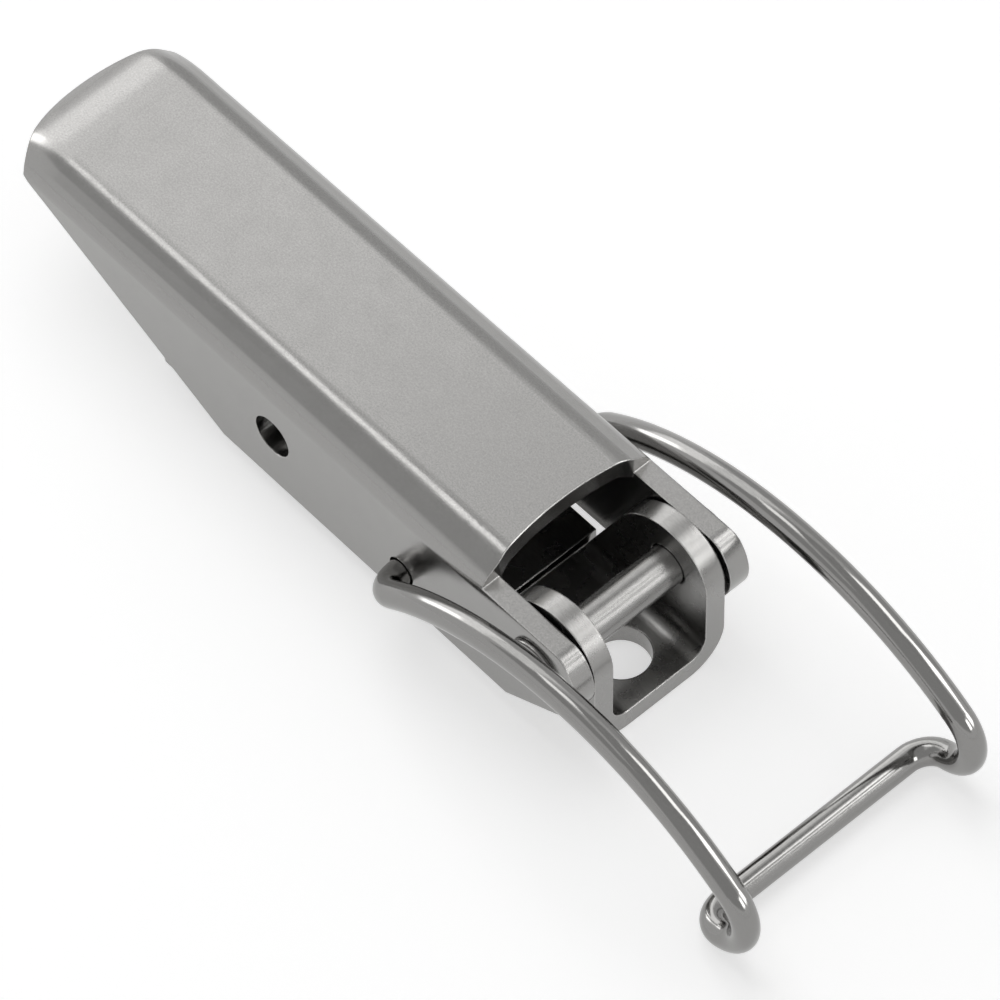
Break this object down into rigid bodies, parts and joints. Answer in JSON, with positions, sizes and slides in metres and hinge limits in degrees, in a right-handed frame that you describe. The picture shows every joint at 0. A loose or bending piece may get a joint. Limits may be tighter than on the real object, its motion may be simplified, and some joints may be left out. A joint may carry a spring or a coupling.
{
  "type": "over centre toggle latch",
  "caption": "Over centre toggle latch of bent sheet metal, with a channel lever riveted to a base bracket and a hooked wire bail.",
  "frame": {"origin": "on the mounting face of the base bracket, midway between its two screw holes", "axes": "+X towards the hooked end of the bail, +Y along the rivet, +Z away from the mounting face"},
  "size_m": [0.1166, 0.034, 0.0198],
  "materials": {
    "polished_sheet": "polished sheet steel",
    "rivet_steel": "smooth drawn steel",
    "satin_sheet": "satin grain on the crown, smooth on the walls",
    "wire_steel": "smooth drawn wire"
  },
  "bodies": {
    "base": {"base_bracket": "polished_sheet", "pivot_rivet": "rivet_steel"},
    "lever": {"lever": "satin_sheet"},
    "bail": {"bail": "wire_steel"}
  },
  "joints": [
    {"name": "lever_pivot", "type": "hinge", "parent": "base", "child": "lever", "pos_m": [0.025, 0, 0.012], "axis": [0, 1, 0], "range_deg": [0, 130]},
    {"name": "bail_pivot", "type": "hinge", "parent": "lever", "child": "bail", "pos_m": [0.0051, 0, 0.007], "axis": [0, -1, 0], "range_deg": [0, 160]}
  ]
}
